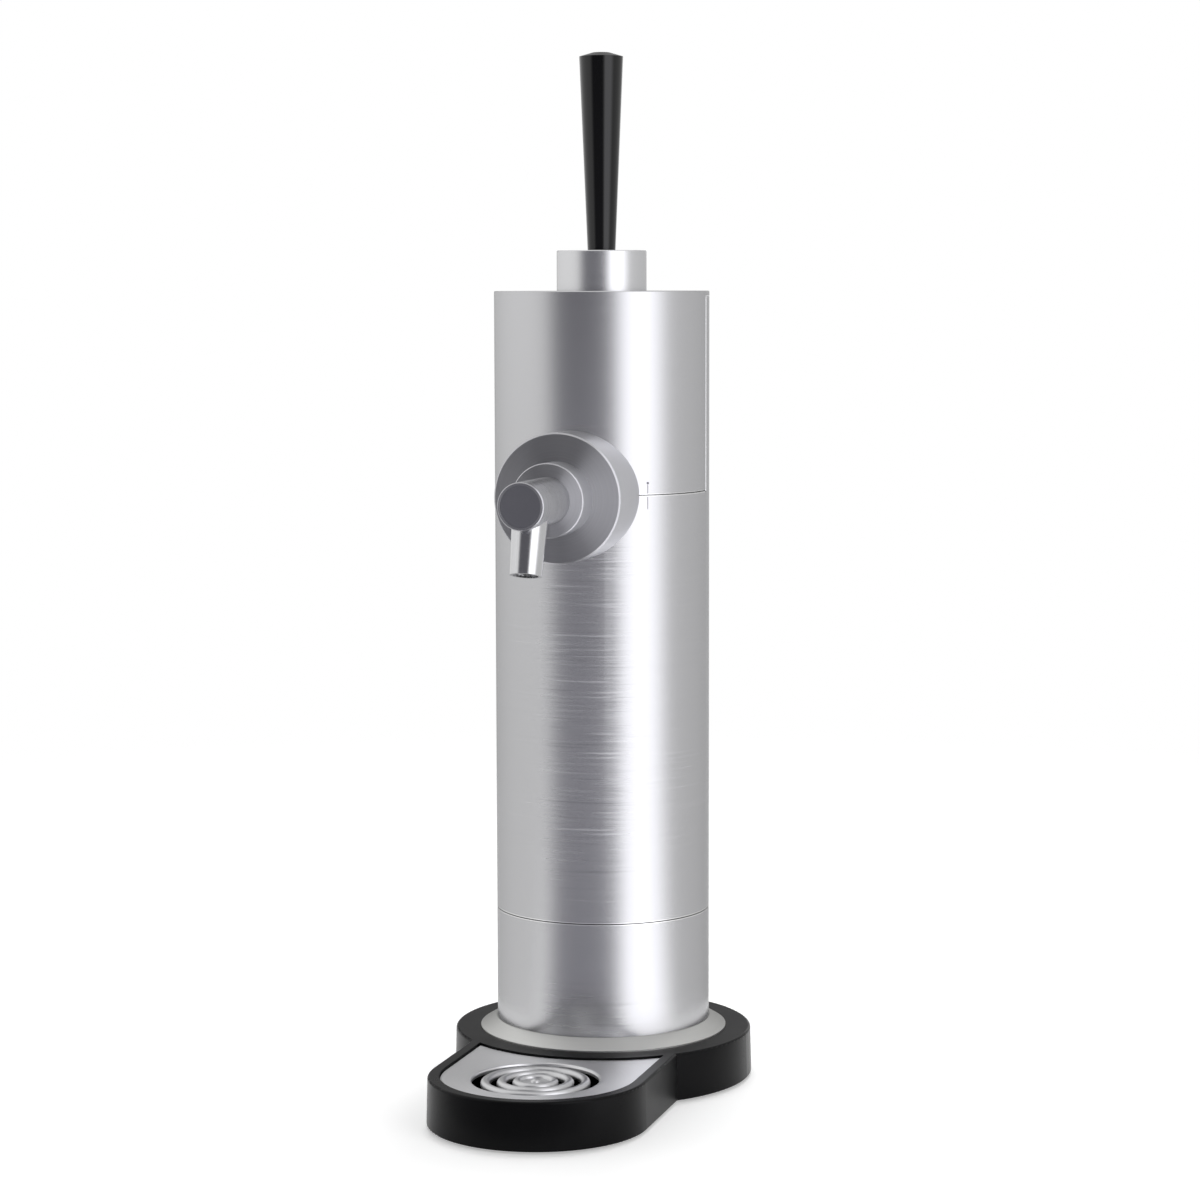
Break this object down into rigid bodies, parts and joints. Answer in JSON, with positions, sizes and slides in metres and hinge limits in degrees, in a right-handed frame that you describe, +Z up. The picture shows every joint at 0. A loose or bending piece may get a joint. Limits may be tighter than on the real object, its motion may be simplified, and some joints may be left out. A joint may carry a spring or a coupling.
{
  "type": "canned beer dispenser",
  "caption": "Countertop beer can dispenser: brushed steel tower that holds a can, lift-up head with tap, spout and lever handle, and a black base with a lift-out drip tray.",
  "frame": {"origin": "centre of the footprint's bounding box, on the surface that the feet stand on", "axes": "+Z up along the tower, -Y the way the tap and the drip tray point, +X to the right of someone standing behind it, so to the right in the reference view"},
  "size_m": [0.1236, 0.1956, 0.421],
  "materials": {
    "brushed_steel": "hoop-brushed sheet, grain round the tower",
    "satin_aluminium": "fine turned, satin",
    "satin_steel": "pressed sheet, satin",
    "tap_steel": "turned and satin, bright chamfers",
    "polished_steel": "polished",
    "chrome": "mirror plated",
    "plated_screw": "zinc plated",
    "spring_steel": "drawn wire, plain",
    "contact_brass": "machined",
    "black_plastic": "satin moulded",
    "gloss_black": "gloss lacquer",
    "inner_plastic": "moulded, fine texture",
    "dark_plastic_tube": "smooth",
    "black_rubber": "matte",
    "seal_rubber": "silicone, matte",
    "hose_silicone": "translucent silicone, matte",
    "lead_sleeve": "wire insulation",
    "battery_sleeve": "plain shrink sleeve, unmarked",
    "board_green": "solder mask"
  },
  "bodies": {
    "stand": {"base_housing": "black_plastic", "base_cover": "black_plastic", "base_screws": "plated_screw", "rubber_feet": "black_rubber", "base_ring": "satin_aluminium", "tower_foot": "inner_plastic", "lower_sleeve": "brushed_steel", "tower_sleeve": "brushed_steel", "deck": "inner_plastic", "can_well": "inner_plastic", "can_pad": "black_rubber", "battery_case": "inner_plastic", "batteries": "battery_sleeve", "top_battery_contacts": "spring_steel", "power_leads": "lead_sleeve", "contact_block": "inner_plastic", "tower_contacts": "contact_brass", "catch_strikes": "plated_screw", "hinge_leaf_tower": "polished_steel", "hinge_rivets": "polished_steel", "hinge_pin": "polished_steel"},
    "battery_door": {"battery_door": "black_plastic", "door_battery_contacts": "spring_steel"},
    "drip_pan": {"drip_pan": "black_plastic"},
    "drip_plate": {"drip_plate": "satin_steel"},
    "head": {"front_shell": "brushed_steel", "top_cap": "brushed_steel", "hinge_leaf_head": "polished_steel", "handle_collar": "satin_aluminium", "cap_screws": "plated_screw", "tap_flange": "tap_steel", "tap_hub": "tap_steel", "tap_nozzle": "tap_steel", "nozzle_insert": "tap_steel", "foam_disc": "contact_brass", "tap_shank": "contact_brass", "shank_nut": "contact_brass", "outlet_elbow": "contact_brass", "spout": "chrome", "spout_liner": "dark_plastic_tube", "head_chassis": "inner_plastic", "chassis_spacers": "plated_screw", "upper_plate": "inner_plastic", "chassis_screws": "plated_screw", "can_seal": "seal_rubber", "riser_tube": "polished_steel", "pump_head": "inner_plastic", "pump_motor": "polished_steel", "pump_clamp": "plated_screw", "beer_hoses": "hose_silicone", "control_board": "board_green", "catch_magnets": "plated_screw", "head_contacts": "contact_brass", "switch_body": "black_plastic", "pivot_bracket": "plated_screw", "pivot_pin": "polished_steel", "centring_spring": "spring_steel"},
    "handle": {"tap_handle": "gloss_black", "handle_stem": "polished_steel"},
    "switch_slider": {"switch_slider": "inner_plastic"}
  },
  "joints": [
    {"name": "head_hinge", "type": "hinge", "parent": "stand", "child": "head", "pos_m": [0, 0.08265, 0.321], "axis": [-1, 0, 0], "range_deg": [0, 95]},
    {"name": "handle_tilt", "type": "hinge", "parent": "head", "child": "handle", "pos_m": [0, 0.03605, 0.332], "axis": [1, 0, 0], "range_deg": [-10, 10], "stiffness_Nm_per_rad": 0.3, "deforming": ["centring_spring"]},
    {"name": "switch_slide", "type": "slide", "parent": "head", "child": "switch_slider", "axis": [0, 1, 0], "range_m": [-0.0053, 0.0053]},
    {"name": "drip_pan_lift", "type": "slide", "parent": "stand", "child": "drip_pan", "axis": [0, 0, 1], "range_m": [0, 0.05]},
    {"name": "drip_plate_lift", "type": "slide", "parent": "drip_pan", "child": "drip_plate", "axis": [0, 0, 1], "range_m": [0, 0.03]},
    {"name": "battery_door_slide", "type": "slide", "parent": "stand", "child": "battery_door", "axis": [0, 0, -1], "range_m": [0, 0.04]}
  ],
  "couplings": [
    {"joint": "switch_slide", "follows": "handle_tilt", "m_per_rad": 0.03}
  ]
}
